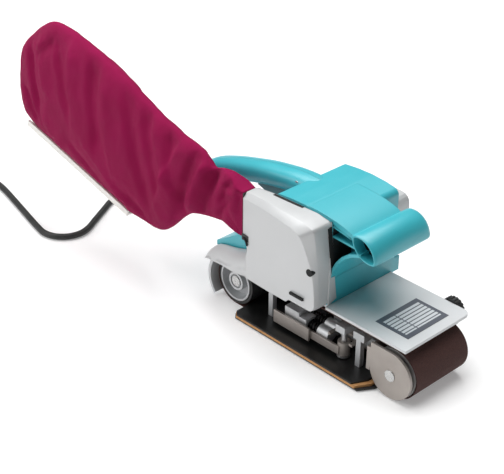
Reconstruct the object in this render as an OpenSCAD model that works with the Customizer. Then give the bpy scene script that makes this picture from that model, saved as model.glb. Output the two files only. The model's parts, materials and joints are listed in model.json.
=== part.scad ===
// Handheld belt sander with a transverse motor, a tension lever, a dust fan and a dust bag.
// X points to the front roller, Y to the drive side, Z up. The origin is under the rear roller's axis.

/* [Abrasive belt] */
// Width of the abrasive belt
belt_w = 76; // [70:1:78]
// Length of the abrasive belt round its middle
belt_len = 610; // [600:1:620]
// Thickness of the abrasive belt
belt_t = 1; // [0.8:0.1:1.2]

/* [Rollers] */
// Outer radius of both rollers
roller_r = 25.6; // [24:0.1:26]
// Radius of the drive drum under its rubber tyre
drum_r = 22; // [20:0.5:22.5]
// Radius of the roller shafts
shaft_r = 6; // [5:0.5:7]
// Gap between a roller and the belt
belt_gap = 0.3; // [0.2:0.1:0.5]

/* [Housing] */
// Front end of the motor housing
block_x1 = 136; // [132:1:138]
// Rear end of the motor housing
block_x0 = 60; // [56:1:62]
// Top of the motor housing
block_top = 160; // [152:1:160]
// Outer face of the dust fan housing
fan_y = -60; // [-62:1:-58]
// Wall thickness of the plastic housings
wall = 3; // [2.5:0.5:3.5]

/* [Handle] */
// Half height of the rear handle's section
handle_h = 12; // [11:0.5:13]
// Half width of the rear handle's section
handle_w = 15; // [13:0.5:16]
// Place of the rear handle across the machine
handle_y = 10; // [8:1:12]

/* [Front grip] */
// Half length of the front grip
grip_l = 40; // [36:1:42]
// Half thickness of the front grip at its middle
grip_t = 14; // [12:0.5:15]

/* [Power cord] */
// Diameter of the power cord
cord_d = 7.5; // [6:0.5:8]

/* [Hidden] */
$fn = 64;

belt_in = roller_r + belt_gap;
axis_z = belt_in + belt_t;
span = (belt_len - 2 * PI * (belt_in + belt_t / 2)) / 2;
idler_play = 0.8;
half_w = belt_w / 2;
deck_z = 61.7;
plate_z = 60.5;
wall_y = 43;
gear_c = [12, axis_z + 27.5];
gear_teeth = 42;
pinion_teeth = 12;
gear_r = 23.2;
pinion_r = 6.4;
motor_c = [98, 112];
pulley_r = 8.8;
timing_r = 19.8;
belt_y0 = 64;
belt_y1 = 73;
lever_c = [152, -33];
yoke_c = [184, 0];
screw_spots = [[-50, 126.4], [52, 152], [-91, 92]];
spring_y = [-21, -31.5];
spring_z = [25, 22];
grip_back = [161, 152];
grip_front = [190.5, 131.5];
bag_y = -50;
rail_a = [-161, 50];
rail_b = [-347, 97.5];
coil_c = [-448, -129.5];
coil_in = 28;
coil_out = 58;
coil_h = 15;
cord_z = 4;

// --- shared shapes ---------------------------------------------------------------------------

module along_y(y0, y1) {
    rotate([90, 0, 0]) translate([0, 0, -y1]) linear_extrude(y1 - y0) children();
}

module rod_y(c, r, y0, y1) {
    translate([c[0], y0, c[1]]) rotate([-90, 0, 0]) cylinder(r = r, h = y1 - y0);
}

module rod_z(c, r, z0, z1) {
    translate([c[0], c[1], z0]) cylinder(r = r, h = z1 - z0);
}

module rod_x(from, r, h) {
    translate(from) rotate([0, 90, 0]) cylinder(r = r, h = h);
}

module block(x, y, z) {
    translate([x[0], y[0], z[0]]) cube([x[1] - x[0], y[1] - y[0], z[1] - z[0]]);
}

function arc(c, r, a0, a1, n = 8) =
    [for (i = [0:n]) c + r * [cos(a0 + (a1 - a0) * i / n), sin(a0 + (a1 - a0) * i / n)]];

// outline of two discs and the straight sides that join them
function capsule(a, ra, b, rb, n = 16) =
    let (d = b - a, turn = atan2(d[1], d[0]), lean = acos((ra - rb) / norm(d)))
    concat(arc(a, ra, turn + lean, turn + 360 - lean, n), arc(b, rb, turn - lean, turn + lean, n));

// toothed disc outline
function teeth(n, r_tip, r_root) =
    [for (i = [0:n - 1], k = [0:3])
        let (r = (k == 1 || k == 2) ? r_tip : r_root, a = (i + [0.05, 0.3, 0.6, 0.85][k]) * 360 / n)
        [r * cos(a), r * sin(a)]];

// closed skin over rings of equal point counts
module loft(rings) {
    m = len(rings);
    n = len(rings[0]);
    points = [for (ring = rings, p = ring) p];
    sides = [for (i = [0:m - 2], j = [0:n - 1])
        [i * n + j, i * n + (j + 1) % n, (i + 1) * n + (j + 1) % n, (i + 1) * n + j]];
    caps = [[for (j = [n - 1:-1:0]) j], [for (j = [0:n - 1]) (m - 1) * n + j]];
    polyhedron(points = points, faces = concat(sides, caps), convexity = 6);
}

function unit(v) = v / norm(v);

function tangent(path, i) =
    unit(path[min(i + 1, len(path) - 1)] - path[max(i - 1, 0)]);

// tube of radius r along a path in space, with a tapering end if r2 is given
module tube(path, r, r2 = 0, sides = 10) {
    last = len(path) - 1;
    loft([for (i = [0:last])
        let (t = tangent(path, i), s = unit(cross(t, [0, 0, 1])), u = cross(s, t),
            q = r2 > 0 ? r + (r2 - r) * i / last : r)
        [for (k = [0:sides - 1]) path[i] + q * (cos(k * 360 / sides) * s + sin(k * 360 / sides) * u)]]);
}

// helical spring of round wire along X, closed at both ends
module coil_spring(from, length, turns) {
    steps = turns * 14;
    loft([for (i = [0:steps]) let (a = i * 360 / 14, x = from[0] + 0.8 + (length - 1.6) * i / steps)
        [for (k = [0:5]) let (r = 4.3 + 0.8 * cos(k * 60))
            [x + 0.8 * sin(k * 60), from[1] + r * cos(a), from[2] + r * sin(a)]]]);
}

module cross_head(c, r, y, depth) {
    difference() {
        rod_y(c, r, y, y + depth);
        for (turn = [0, 90])
            translate([c[0], y, c[1]]) rotate([0, turn, 0]) cube([r * 1.3, 1.6, r * 0.3], center = true);
    }
}

// --- frame and platen ------------------------------------------------------------------------

module main_frame() {
    color("silver") difference() {
        union() {
            block([-22, 133.5], [-38, 50], [57, deck_z]);
            block([133.5, 216], [-40, 50], [57, plate_z]);
            block([199, 226], [44, 50], [45, plate_z]);
            along_y(wall_y, 50) polygon(concat(
                arc([0, axis_z], 20, 180, 270), [[186, 8], [190, 12], [190, 58], [-20, 58]]));
            block([2, 24], [wall_y, 50], [50, 70]);
            block([34, 112], [14, wall_y], [16, 46]);
            block([112, 170], [12, wall_y], [16, 46]);
            for (x = [48, 170]) {
                block([x - 4, x + 10], [-36, 14], [38, 46]);
                block([x, x + 6], [-36, -30], [7.3, 38]);
            }
            block([60, 160], [20, wall_y], [7.3, 16]);
            block([120, 168], [-14, 12], [32.3, 38]);
            block([120, 168], [-14, -10.3], [16, 32.3]);
            block([146, 158], [-40, 14], [38, 46]);
            block([76, 96], [-40, 14], [14, 34]);
            block([76, 96], [-20, 14], [34, 46]);
            block([96, 106], [-40, -25.6], [14, 30]);
        }
        rod_y([0, axis_z], 13, 42, 51);
        rod_y(gear_c, 8, 42, 51);
        for (i = [0, 1])
            rod_x([80, spring_y[i], spring_z[i]], 5.7, 30);
        rod_y([214, 55], 3.05, 43, 51);
        for (x = [76, 144])
            rod_z([x, 31], 2.1, 7, 15);
    }
}

module rear_guard() {
    color("silver") along_y(-46, wall_y)
        polygon(concat(arc([0, axis_z], 34.5, 149, 222, 14), arc([0, axis_z], 31, 222, 149, 14)));
}

function shoe(x0, x1, cut) =
    [[x0 + 5, -60], [x1 - 6, -60], [x1 + cut, -44], [x1 + cut, 37], [x0, 37], [x0, -55]];

module platen_plate() {
    color("black") difference() {
        translate([0, 0, 5.3]) linear_extrude(2) polygon(shoe(20, 193, 2));
        for (x = [76, 144])
            rod_z([x, 31], 2.1, 5, 8);
    }
}

module platen_cork() {
    color("peru") difference() {
        translate([0, 0, 2.5]) linear_extrude(2.8) polygon(shoe(19, 197, 3));
        for (x = [76, 144])
            rod_z([x, 31], 2.1, 2, 6);
    }
}

module platen_slide() {
    color("dimgray") translate([0, 0, 1.3]) linear_extrude(1.2) polygon(shoe(18, 201, 4));
}

module platen_screws() {
    color("gray") for (x = [76, 144])
        rod_z([x, 31], 2.1, 2.5, 14);
}

module front_cover() {
    color("lightgray") translate([0, 0, plate_z]) linear_extrude(3) polygon(concat(
        [[136.2, -45.3], [239, -45.3]], arc([231, 43.5], 8, 0, 90), [[136.2, 51.4]]));
}

module nameplate() {
    color("slategray") block([186.3, 227.3], [-28.5, 31.5], [plate_z + 3, plate_z + 3.4]);
}

// --- dust fan housing --------------------------------------------------------------------------

function fan_outline(t) = concat(
    [[34 + t, 104 + t], [39 + t, 96], [40 + t, 90], [38 + t, 84], [38 + t, 58 + t], [96, 57 + t],
        [99, 61 + t]],
    arc([128, 69], 8 - t, -90, 0, 4),
    arc([128, 149], 8 - t, 0, 60, 4),
    [[118, 158 - t], [90, 157.6 - t], [60, 156.4 - t], [34 + t, 153.6 - t]]);

// rear hood over the drive roller, from the fan housing to its rear tip
function hood(x, side_y, low_z, shoulder_z, top_z, inner_y = -40.2) =
    [[x, inner_y, low_z], [x, side_y, low_z], [x, side_y - 0.5, (low_z + shoulder_z) / 2],
        [x, side_y + 1, shoulder_z], [x, -45, top_z - 1], [x, inner_y, top_z]];

module fan_housing() {
    color("gainsboro") {
        difference() {
            union() {
                along_y(-52, -42) polygon(fan_outline(0));
                along_y(-57.5, -52) polygon(fan_outline(1.5));
                along_y(fan_y, -57.5) polygon(fan_outline(4));
            }
            along_y(-57, -41) polygon(fan_outline(3.2));
            block([30, 40], [-56, -43.5], [108, 149.5]);
            block([103, 121], [-61, -56], [69.5, 72.5]);
            rod_y([129.5, 106.5], 3.4, -61, -58.2);
        }
        difference() {
            block([20, 34], [-57, -42.5], [107, 150.5]);
            block([19, 35], [-55, -44.5], [109, 148.5]);
        }
        rod_y([131.5, 106.5], 4.5, -57, -42);
    }
    color("gainsboro") loft([
        hood(-38, -47.5, 42.5, 43.5, 45), hood(-29, -49, 44.5, 50, 58), hood(-20, -51, 46.5, 54, 66.5),
        hood(-5, -54, 50.3, 57, 69), hood(14, -57, 52.5, 62, 71), hood(33, -58.8, 56.8, 71, 81),
        hood(33.6, -58.9, 57, 71, 81, -42.1), hood(44, -59.4, 58, 74, 84, -42.1)]);
}

module fan_backplate() {
    color("silver") difference() {
        union() {
            along_y(-42, -40) polygon(fan_outline(0.3));
            rod_y(motor_c, 12.5, -40, -34);
        }
        rod_y(motor_c, 8, -43, -33);
    }
}

module fan_housing_screws() {
    color("gray") {
        cross_head([129.5, 106.5], 3.3, -60.2, 2.2);
        for (c = [[46, 66], [48, 149.5]])
            rod_y(c, 1.6, -57, -42);
    }
}

module nozzle_rim() {
    color("black") {
        difference() {
            block([33, 34], [-59.6, -41], [104.5, 153]);
            block([32, 35], [-57, -42.5], [107, 150.5]);
        }
        block([33.5, 43], [-61.2, -60], [102, 108.5]);
    }
}

// --- motor housing, front grip and rear skirt --------------------------------------------------

function block_outline(t) = concat(
    [[block_x0 + t, deck_z + t], [block_x1 - t, deck_z + t]],
    arc([block_x1 - 7, block_top - 10], 7 - t, 0, 75, 5),
    [[118, block_top - 1.2 - t], [100, block_top - t], [82, block_top - 0.4 - t]],
    arc([block_x0 + 5, block_top - 7], 5 - t, 90, 180, 4));

module motor_housing() {
    color("darkturquoise") {
        difference() {
            along_y(-40, 55) polygon(block_outline(0));
            along_y(-41, 52) polygon(block_outline(wall));
            block([130, 140], [-39, -34], [90, 146]);
            rod_y(motor_c, 9, 50, 56);
        }
        block([104, block_x1], [55, 63], [deck_z, 78]);
    }
}

// biconvex section of the front grip, swollen towards its middle
function grip_ring(y, grow) =
    let (mid = (grip_back + grip_front) / 2, c = unit(grip_front - grip_back),
        n = [-c[1], c[0]], half = norm(grip_front - grip_back) / 2,
        swell = 1 - 0.25 * pow(y / grip_l, 2))
    [for (k = [0:15])
        let (a = k * 360 / 16, q = mid + (half + grow) * cos(a) * c
            + (grip_t + grow) * swell * sin(a) * (0.55 + 0.45 * abs(sin(a))) * n)
        [q[0], y, q[1]]];

module front_grip() {
    color("darkturquoise") {
        difference() {
            loft([for (y = [-40, -30, -18, 0, 18, 30, 40]) grip_ring(y * grip_l / 40, 0)]);
            loft([for (y = [-41, -30, -18, 0, 18]) grip_ring(y * grip_l / 40, -2.6)]);
        }
        difference() {
            along_y(-39.5, 29) polygon([[136, 156], [136, 152.5], [164, 146], [166, 150.5], [156, 154.5]]);
            loft([for (y = [-41, -18, 0, 18, 41]) grip_ring(y * grip_l / 40, -0.1)]);
        }
        for (drop = [0, 9, 18]) difference() {
            along_y(-39.5, -30) polygon([[136, 147 - drop], [136, 144.5 - drop], [170, 134.5 - drop * 0.5],
                [168, 139 - drop * 0.5]]);
            loft([for (y = [-41, -18, 0, 18, 41]) grip_ring(y * grip_l / 40, -0.1)]);
        }
        difference() {
            along_y(-39.5, 29) polygon(concat([[136, 112]], arc([176, 100], 36.5, 160, 100, 8),
                arc([176, 100], 39.5, 100, 155, 8), [[136, 118]]));
            loft([for (y = [-41, -18, 0, 18, 41]) grip_ring(y * grip_l / 40, -0.1)]);
        }
    }
}

module rear_skirt() {
    color("darkcyan") {
        difference() {
            along_y(-40, 42) polygon([[-27, deck_z], [block_x0, deck_z], [block_x0, 106], [34, 101],
                [12, 90], [-27, 67]]);
            along_y(-37, 39) polygon([[-30, 50], [57, 50], [57, 102], [35, 97.5], [13, 86], [-24, 64]]);
        }
        difference() {
            along_y(-6, 26) polygon([[-27, 62], [-27, 85], [8, 93], [30, 99], [30, 96], [14, 90.4], [-24, 68]]);
            along_y(-4, 24) polygon([[-24, 71], [-24, 82], [8, 90.2]]);
        }
    }
}

// --- rear handle, switch, trigger --------------------------------------------------------------

handle_path = [[59.4, 148], [41, 147], [26, 144.6], [11, 142], [-6, 138.4], [-22, 134.3], [-40, 129.4],
    [-58, 123.8], [-75, 117.2], [-88, 109], [-95, 99], [-96, 87.5], [-90.5, 78], [-80, 73.2], [-62, 72.6],
    [-44, 72.8], [-27.8, 73]];

// points of the handle's path moved sideways by t
function beside_path(t, skip = 0) =
    [for (i = [skip:len(handle_path) - 1 - skip]) let (d = tangent(handle_path, i))
        handle_path[i] + t * [-d[1], d[0]]];

function reversed(list) = [for (i = [len(list) - 1:-1:0]) list[i]];

// slab of the handle from one distance off its middle plane to another; side is -1 right, 1 left
module handle_slab(side, from, to, half, skip = 0) {
    ends = side > 0 ? [from, to] : [-to, -from];
    along_y(handle_y + ends[0], handle_y + ends[1])
        polygon(concat(beside_path(half, skip), reversed(beside_path(-half, skip))));
}

module handle_half(side) {
    difference() {
        union() {
            handle_slab(side, 0, handle_w - 7, handle_h);
            handle_slab(side, handle_w - 7, handle_w - 2.5, handle_h - 2);
            handle_slab(side, handle_w - 2.5, handle_w, handle_h - 5.5);
        }
        handle_slab(side, -1, handle_w - 8, handle_h - wall, 1);
        handle_slab(side, handle_w - 9, handle_w - wall - 0.5, handle_h - wall - 2, 1);
        block([-12, 54], [-1, 21], [100, 139]);
        rod_y([16, 144], 4.8, 15, 30);
        for (c = screw_spots)
            rod_y(c, 2.4, -10, 30);
        translate([-98, handle_y, 84.7]) rotate([0, -110.6, 0]) rotate([0, 0, 40]) cylinder(r = 6.2, h = 20);
    }
}

module handle_right() {
    color("darkturquoise") handle_half(-1);
}

module handle_left() {
    color("darkturquoise") handle_half(1);
}

module handle_screws() {
    color("gray") for (c = screw_spots)
        rod_y(c, 2.4, -4, 24);
}

module switch_body() {
    color("black") block([4, 32], [2, 18], [140.5, 147.5]);
}

module trigger() {
    color("dimgray") difference() {
        along_y(1, 19) polygon(concat([[43, 138], [48, 138], [51.5, 135.5], [52, 131]],
            arc([16, 171], 50.5, -54, -112, 12), [[-9.5, 126], [-3, 129], [0, 133], [20, 135.5]]));
        rod_y([48, 134], 2.05, 0, 20);
    }
}

module lock_button() {
    color("black") {
        rod_y([16, 144], 4.5, 19.5, 28);
        rod_y([16, 144], 5.2, 19.5, 21.3);
    }
}

// --- drive side --------------------------------------------------------------------------------

module cover_outline(t) {
    polygon(capsule([0, axis_z], 26 - t, motor_c, 30 - t));
    polygon(capsule(gear_c, 25.2 - t, motor_c, 26 - t));
    polygon(concat(arc([72, 90], 10 - t, 180, 270, 4), arc([124, 90], 10 - t, 270, 360, 4),
        arc([124, 133], 10 - t, 0, 90, 4), arc([72, 133], 10 - t, 90, 180, 4)));
}

module drive_cover() {
    color("lightgray") difference() {
        union() {
            along_y(63, 75) cover_outline(0);
            along_y(75, 77) cover_outline(2);
            along_y(51, 63) difference() {
                polygon(capsule([0, axis_z], 26, gear_c + [36, 31], 24));
                translate([58, 60]) square([60, 120]);
            }
            along_y(55.3, 63) difference() {
                cover_outline(0);
                translate([-60, -20]) square([119, 200]);
                translate([100, 40]) square([60, 39.6]);
            }
        }
        along_y(62.9, 74.5) cover_outline(2);
        along_y(50, 63) polygon(capsule([0, axis_z], 24, gear_c + [30, 26], 20));
        along_y(55, 63) difference() {
            cover_outline(2);
            translate([-60, -20]) square([121, 200]);
            translate([96, 40]) square([60, 42.5]);
        }
        rod_y(motor_c, 9, 54, 64);
    }
}

module drive_cover_screws() {
    color("gray") for (c = [[-20, 36], [65, 138.5], [132, 84]])
        rod_y(c, 2.2, 77, 78.2);
}

module stator_core() {
    color("dimgray") difference() {
        rod_y(motor_c, 33, -16, 22);
        rod_y(motor_c, 23, -17, 23);
        for (side = [-1, 1])
            block([motor_c[0] + side * 29 - 4, motor_c[0] + side * 29 + 4], [-17, 23],
                [motor_c[1] - 8, motor_c[1] + 8]);
    }
}

module stator_windings() {
    color("peru") for (y = [-23, 22])
        difference() {
            rod_y(motor_c, 31, y, y + 7);
            rod_y(motor_c, 24, y - 1, y + 8);
        }
}

module bearing(c, r_in, r_out, y0, y1) {
    difference() {
        rod_y(c, r_out, y0, y1);
        rod_y(c, r_in, y0 - 1, y1 + 1);
    }
}

module motor_bearings() {
    color("silver") {
        bearing(motor_c, 5.05, 8, -42, -35);
        bearing(motor_c, 5.05, 9, 50, 56);
    }
}

module brush_holders() {
    color("goldenrod") for (side = [-1, 1]) difference() {
        block([motor_c[0] + side * 25 - 8, motor_c[0] + side * 25 + 8], [30, 42], [107, 117]);
        block([motor_c[0] + side * 25 - 9, motor_c[0] + side * 25 + 9], [32, 40], [109, 115]);
    }
}

module carbon_brushes() {
    color("black") for (side = [-1, 1])
        block([motor_c[0] + side * 21 - 7, motor_c[0] + side * 21 + 7], [32, 40], [109, 115]);
}

module rotor_shaft() {
    color("silver") rod_y(motor_c, 5, -56.3, 74);
}

module armature_core() {
    color("gray") difference() {
        rod_y(motor_c, 22.4, -15, 21);
        rod_y(motor_c, 5, -16, 22);
        for (k = [0:11])
            translate([motor_c[0], -16, motor_c[1]]) rotate([0, k * 30, 0]) block([-1, 1], [0, 38], [16, 24]);
    }
}

module commutator() {
    color("peru") bearing(motor_c, 5, 13.6, 28, 44);
}

module fan_wheel(y0, y1, r_out, r_hub, blades, lean) {
    bearing(motor_c, 5, r_out, y0, y0 + 1.5);
    bearing(motor_c, 5, r_hub, y0 + 1.5, y1);
    for (k = [0:blades - 1])
        translate([motor_c[0], y0 + 1.5, motor_c[1]]) rotate([0, k * 360 / blades, 0])
            translate([r_hub - 1, 0, 0]) rotate([0, lean, 0]) cube([r_out - r_hub - 2, y1 - y0 - 1.5, 1.6]);
}

module cooling_fan() {
    color("white") fan_wheel(-33.5, -25, 30, 10, 12, 8);
}

module dust_fan() {
    color("gray") fan_wheel(-56, -44, 28, 9, 8, 14);
}

module motor_pulley() {
    color("gray") difference() {
        translate([motor_c[0], belt_y0, motor_c[1]]) rotate([-90, 0, 0])
            linear_extrude(belt_y1 - belt_y0) polygon(teeth(16, pulley_r, pulley_r - 0.9));
        rod_y(motor_c, 5, belt_y0 - 1, belt_y1 + 1);
    }
}

module timing_belt() {
    color("black") along_y(belt_y0 + 0.5, belt_y1 - 0.5) difference() {
        polygon(capsule(gear_c, timing_r + 2, motor_c, pulley_r + 2, 32));
        polygon(capsule(gear_c, timing_r + 0.4, motor_c, pulley_r + 0.4, 32));
    }
}

module pinion_shaft() {
    color("silver") {
        rod_y(gear_c, 4, 44, 53);
        translate([gear_c[0], 53, gear_c[1]]) rotate([-90, 0, 0])
            linear_extrude(9) polygon(teeth(pinion_teeth, pinion_r, pinion_r - 1.6));
        rod_y(gear_c, 4, 62, 74);
    }
}

module timing_pulley() {
    color("gray") difference() {
        translate([gear_c[0], belt_y0, gear_c[1]]) rotate([-90, 0, 0])
            linear_extrude(belt_y1 - belt_y0) polygon(teeth(36, timing_r, timing_r - 0.9));
        rod_y(gear_c, 4, belt_y0 - 1, belt_y1 + 1);
    }
}

module gear_bearings() {
    color("silver") {
        bearing(gear_c, 4.05, 8, 44, 50);
        bearing([0, axis_z], shaft_r + 0.05, 13, 43, 51);
    }
}

module drive_shaft() {
    color("silver") rod_y([0, axis_z], shaft_r, -38, 61.5);
}

module drive_drum() {
    color("silver") difference() {
        rod_y([0, axis_z], drum_r, -half_w - 1, half_w);
        difference() {
            rod_y([0, axis_z], 20, -half_w - 2, -27);
            rod_y([0, axis_z], 10.5, -half_w, -26);
        }
        rod_y([0, axis_z], shaft_r, -half_w - 3, half_w + 1);
        rod_y([0, axis_z], 8, -half_w - 2, -half_w + 2.5);
        bearing([0, axis_z], 12, 18, 10, half_w + 1);
    }
}

module drive_tyre() {
    color("dimgray") bearing([0, axis_z], drum_r, roller_r, -half_w, half_w);
}

module drive_gear() {
    color("gray") difference() {
        translate([0, 53, axis_z]) rotate([-90, 0, 0])
            linear_extrude(8) polygon(teeth(gear_teeth, gear_r, gear_r - 2));
        rod_y([0, axis_z], shaft_r, 52, 62);
    }
}

// --- abrasive belt and its tension -------------------------------------------------------------

module abrasive_belt() {
    color("saddlebrown") along_y(-half_w, half_w) difference() {
        union() {
            translate([0, axis_z]) circle(r = belt_in + belt_t, $fn = 128);
            translate([span + idler_play, axis_z]) circle(r = belt_in + belt_t, $fn = 128);
            translate([0, 0]) square([span + idler_play, 2 * axis_z]);
        }
        union() {
            translate([0, axis_z]) circle(r = belt_in, $fn = 128);
            translate([span + idler_play, axis_z]) circle(r = belt_in, $fn = 128);
            translate([0, belt_t]) square([span + idler_play, 2 * belt_in]);
        }
    }
}

module guide_plate() {
    color("gray") block([120, 168], [-14, 12], [13, 16]);
}

module carriage() {
    color("silver") difference() {
        union() {
            block([122, 182], [-10, 10], [20, 32]);
            block([180, 188], [-8, 8], [20, 32]);
            block([172, 182], [-17.5, 10], [20, 32]);
            block([132, 182], [-17.5, -14.4], [20, 32]);
            for (i = [0, 1])
                rod_x([119, spring_y[i], spring_z[i]], 6.6, 15);
        }
        for (i = [0, 1])
            rod_x([118, spring_y[i], spring_z[i]], 5.5, 13.5);
        rod_z(yoke_c, 3, 19, 33);
    }
}

module link_plate() {
    color("tan") difference() {
        block([134, 166], [-37.5, -17.5], [27, 29.5]);
        block([137, 162], [-38, -24], [26, 31]);
    }
}

module tension_springs() {
    color("black") for (i = [0, 1])
        coil_spring([80.5, spring_y[i], spring_z[i]], 42, 11);
}

module yoke_pin() {
    color("silver") rod_z(yoke_c, 3, 14.5, 37.5);
}

module idler_bracket() {
    color("tan") difference() {
        union() {
            along_y(-45, -42) union() {
                translate([span, axis_z]) circle(r = 25.5, $fn = 96);
                translate([196.5, axis_z]) square([span - 196.5, 25.5]);
            }
            block([192, 196.5], [-45, -42], [20, 46]);
            block([192, 195], [-42, 42], [20, 46]);
            block([192, span], [39, 42], [axis_z - 12, axis_z + 12]);
            rod_y([span, axis_z], 12, 39, 42);
            block([178, 192], [-8, 8], [32.5, 36]);
            block([178, 192], [-8, 8], [16, 19.5]);
            block([189, 192], [-8, 8], [16, 36]);
        }
        rod_z(yoke_c, 3.05, 15, 37);
        rod_y([span, axis_z], shaft_r, -46, 43);
    }
}

module idler_shaft() {
    color("silver") rod_y([span, axis_z], shaft_r, -45.8, 42.4);
}

module idler_roller() {
    color("gray") difference() {
        rod_y([span, axis_z], roller_r, -half_w, half_w);
        rod_y([span, axis_z], shaft_r + 0.05, -half_w - 1, half_w + 1);
        bearing([span, axis_z], 12, 22, -half_w - 1, -20);
        bearing([span, axis_z], 12, 22, 20, half_w + 1);
    }
}

module tension_lever() {
    color("tan") difference() {
        union() {
            rod_z(lever_c, 6.5, 11, 26);
            block([112, lever_c[0]], [lever_c[1] - 8, lever_c[1] - 5.5], [13, 22]);
            block([64, 114], [-44.4, -42], [11, 25.5]);
            block([110, 114], [-44, -38.6], [13, 22]);
        }
        rod_z(lever_c, 3.05, 10, 27);
    }
}

module lever_pivot() {
    color("silver") {
        rod_z(lever_c, 3, 7.4, 38);
        difference() {
            rod_z(lever_c, 6.8, 8.6, 10.6);
            rod_z(lever_c, 3, 8, 11);
        }
    }
}

module tracking_knob() {
    color("black") {
        difference() {
            rod_y([214, 55], 12, 52, 59);
            for (k = [0:17])
                translate([214, 51, 55]) rotate([0, k * 20, 0]) block([-0.9, 0.9], [0, 9], [11.2, 12.5]);
        }
        rod_y([214, 55], 3, 43.6, 52);
    }
}

// --- dust bag ------------------------------------------------------------------------------------

// sections of the bag: place along X, lowest z, highest z, half thickness, middle of the thickness
bag_sections = [[32.5, 104, 153.4, 8.6, -49.5], [18, 103.5, 155, 8.8, -49.6], [6, 103.5, 158, 9.5, -50],
    [-20, 102, 163, 11, -51], [-50, 96, 171, 13, -51], [-78, 76, 180, 16, -51], [-104, 57, 190, 18, -50],
    [-135, 53, 203, 20, -50], [-158, 55, 213, 22, -50], [-200, 65, 226, 23, -50], [-240, 75, 237, 23, -50],
    [-280, 85.5, 241, 21, -50], [-312, 94, 228, 18, -50], [-338, 101, 205, 12, -50], [-351, 114, 180, 6, -50]];

function bag_ring(s) =
    let (mid = (s[1] + s[2]) / 2, half = (s[2] - s[1]) / 2)
    [for (k = [0:15]) let (a = k * 22.5, c = cos(a), v = sin(a))
        [s[0], s[4] + s[3] * sign(c) * pow(abs(c), 0.8), mid + half * sign(v) * pow(abs(v), 0.8)]];

module dust_bag() {
    color("mediumvioletred") difference() {
        loft([for (s = bag_sections) bag_ring(s)]);
        block([10, 40], [-57.4, -42.1], [106.6, 150.9]);
    }
}

module bag_rail() {
    run = rail_b - rail_a;
    color("ivory") translate([rail_a[0], bag_y, rail_a[1]])
        rotate([0, -atan2(run[1], run[0]), 0]) difference() {
            translate([0, -4.5, -2.4]) cube([norm(run), 9, 7.4]);
            translate([-1, -2, -4]) cube([norm(run) + 2, 4, 6]);
        }
}

// --- power cord ----------------------------------------------------------------------------------

guard_a = [-104, handle_y, 82.5];
guard_b = [-140, handle_y, 69];

cord_route = [guard_b, [-154, 10.3, 62.5], [-168, 12, 53], [-181, 15, 41], [-193, 20, 28], [-205, 27, 16],
    [-219, 35, 7.5], [-235, 41, cord_z], [-250, 37, cord_z], [-261, 26, cord_z], [-265, 11, cord_z],
    [-261, -4, cord_z], [-253, -18, cord_z], [-245, -32, cord_z], [-237, -46, cord_z],
    [-229, -60, cord_z], [-225, -75, cord_z], [-229, -90, cord_z], [-240, -101, cord_z],
    [-255, -105, cord_z], [-270, -102.7, cord_z], [-287, -99, cord_z], [-304, -95, cord_z],
    [-322, -90.7, cord_z], [-340, -86.5, cord_z], [-358, -82.3, cord_z], [-376, -78.5, cord_z],
    [-394, -76, cord_z], [-412, -75, cord_z], [-430, -75, cord_z], [-448, -75, cord_z]];

tail_route = [[-448, -180, 11.7], [-434, -180, 11.4], [-420, -180.5, 9.2], [-406, -181.3, 7.8],
    [-392, -182, 7.6]];

module cord_guard() {
    color("black") tube([guard_a, guard_a * 0.67 + guard_b * 0.33, guard_a * 0.33 + guard_b * 0.67, guard_b],
        7.2, 4.6, 16);
}

module power_cord() {
    color("black") {
        tube(cord_route, cord_d / 2);
        tube(tail_route, cord_d / 2);
    }
}

module cord_coil() {
    color("black") translate([coil_c[0], coil_c[1], 0.25])
        rotate_extrude() translate([coil_in, 0]) square([coil_out - coil_in, coil_h]);
}

module plug() {
    color("black") {
        rotate([0, 90, 0]) translate([-7.6, -182, -392]) cylinder(r1 = 5, r2 = 7, h = 14);
        block([-378, -350], [-199, -165], [0.2, 15.2]);
    }
    color("silver") for (side = [-9.5, 9.5])
        rotate([0, 90, 0]) translate([-7.6, -182 + side, -350]) cylinder(r = 2.4, h = 19);
}

// --- assembly ------------------------------------------------------------------------------------

main_frame();
rear_guard();
platen_plate();
platen_cork();
platen_slide();
platen_screws();
front_cover();
nameplate();
fan_housing();
fan_backplate();
fan_housing_screws();
nozzle_rim();
motor_housing();
front_grip();
rear_skirt();
handle_right();
handle_left();
handle_screws();
switch_body();
trigger();
lock_button();
drive_cover();
drive_cover_screws();
stator_core();
stator_windings();
motor_bearings();
brush_holders();
carbon_brushes();
rotor_shaft();
armature_core();
commutator();
cooling_fan();
dust_fan();
motor_pulley();
timing_belt();
pinion_shaft();
timing_pulley();
gear_bearings();
drive_shaft();
drive_drum();
drive_tyre();
drive_gear();
abrasive_belt();
guide_plate();
carriage();
link_plate();
tension_springs();
yoke_pin();
idler_bracket();
idler_shaft();
idler_roller();
tension_lever();
lever_pivot();
tracking_knob();
dust_bag();
bag_rail();
cord_guard();
power_cord();
cord_coil();
plug();
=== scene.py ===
import json
import math

import bmesh
import bpy
from mathutils import Matrix, Vector, noise


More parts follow.
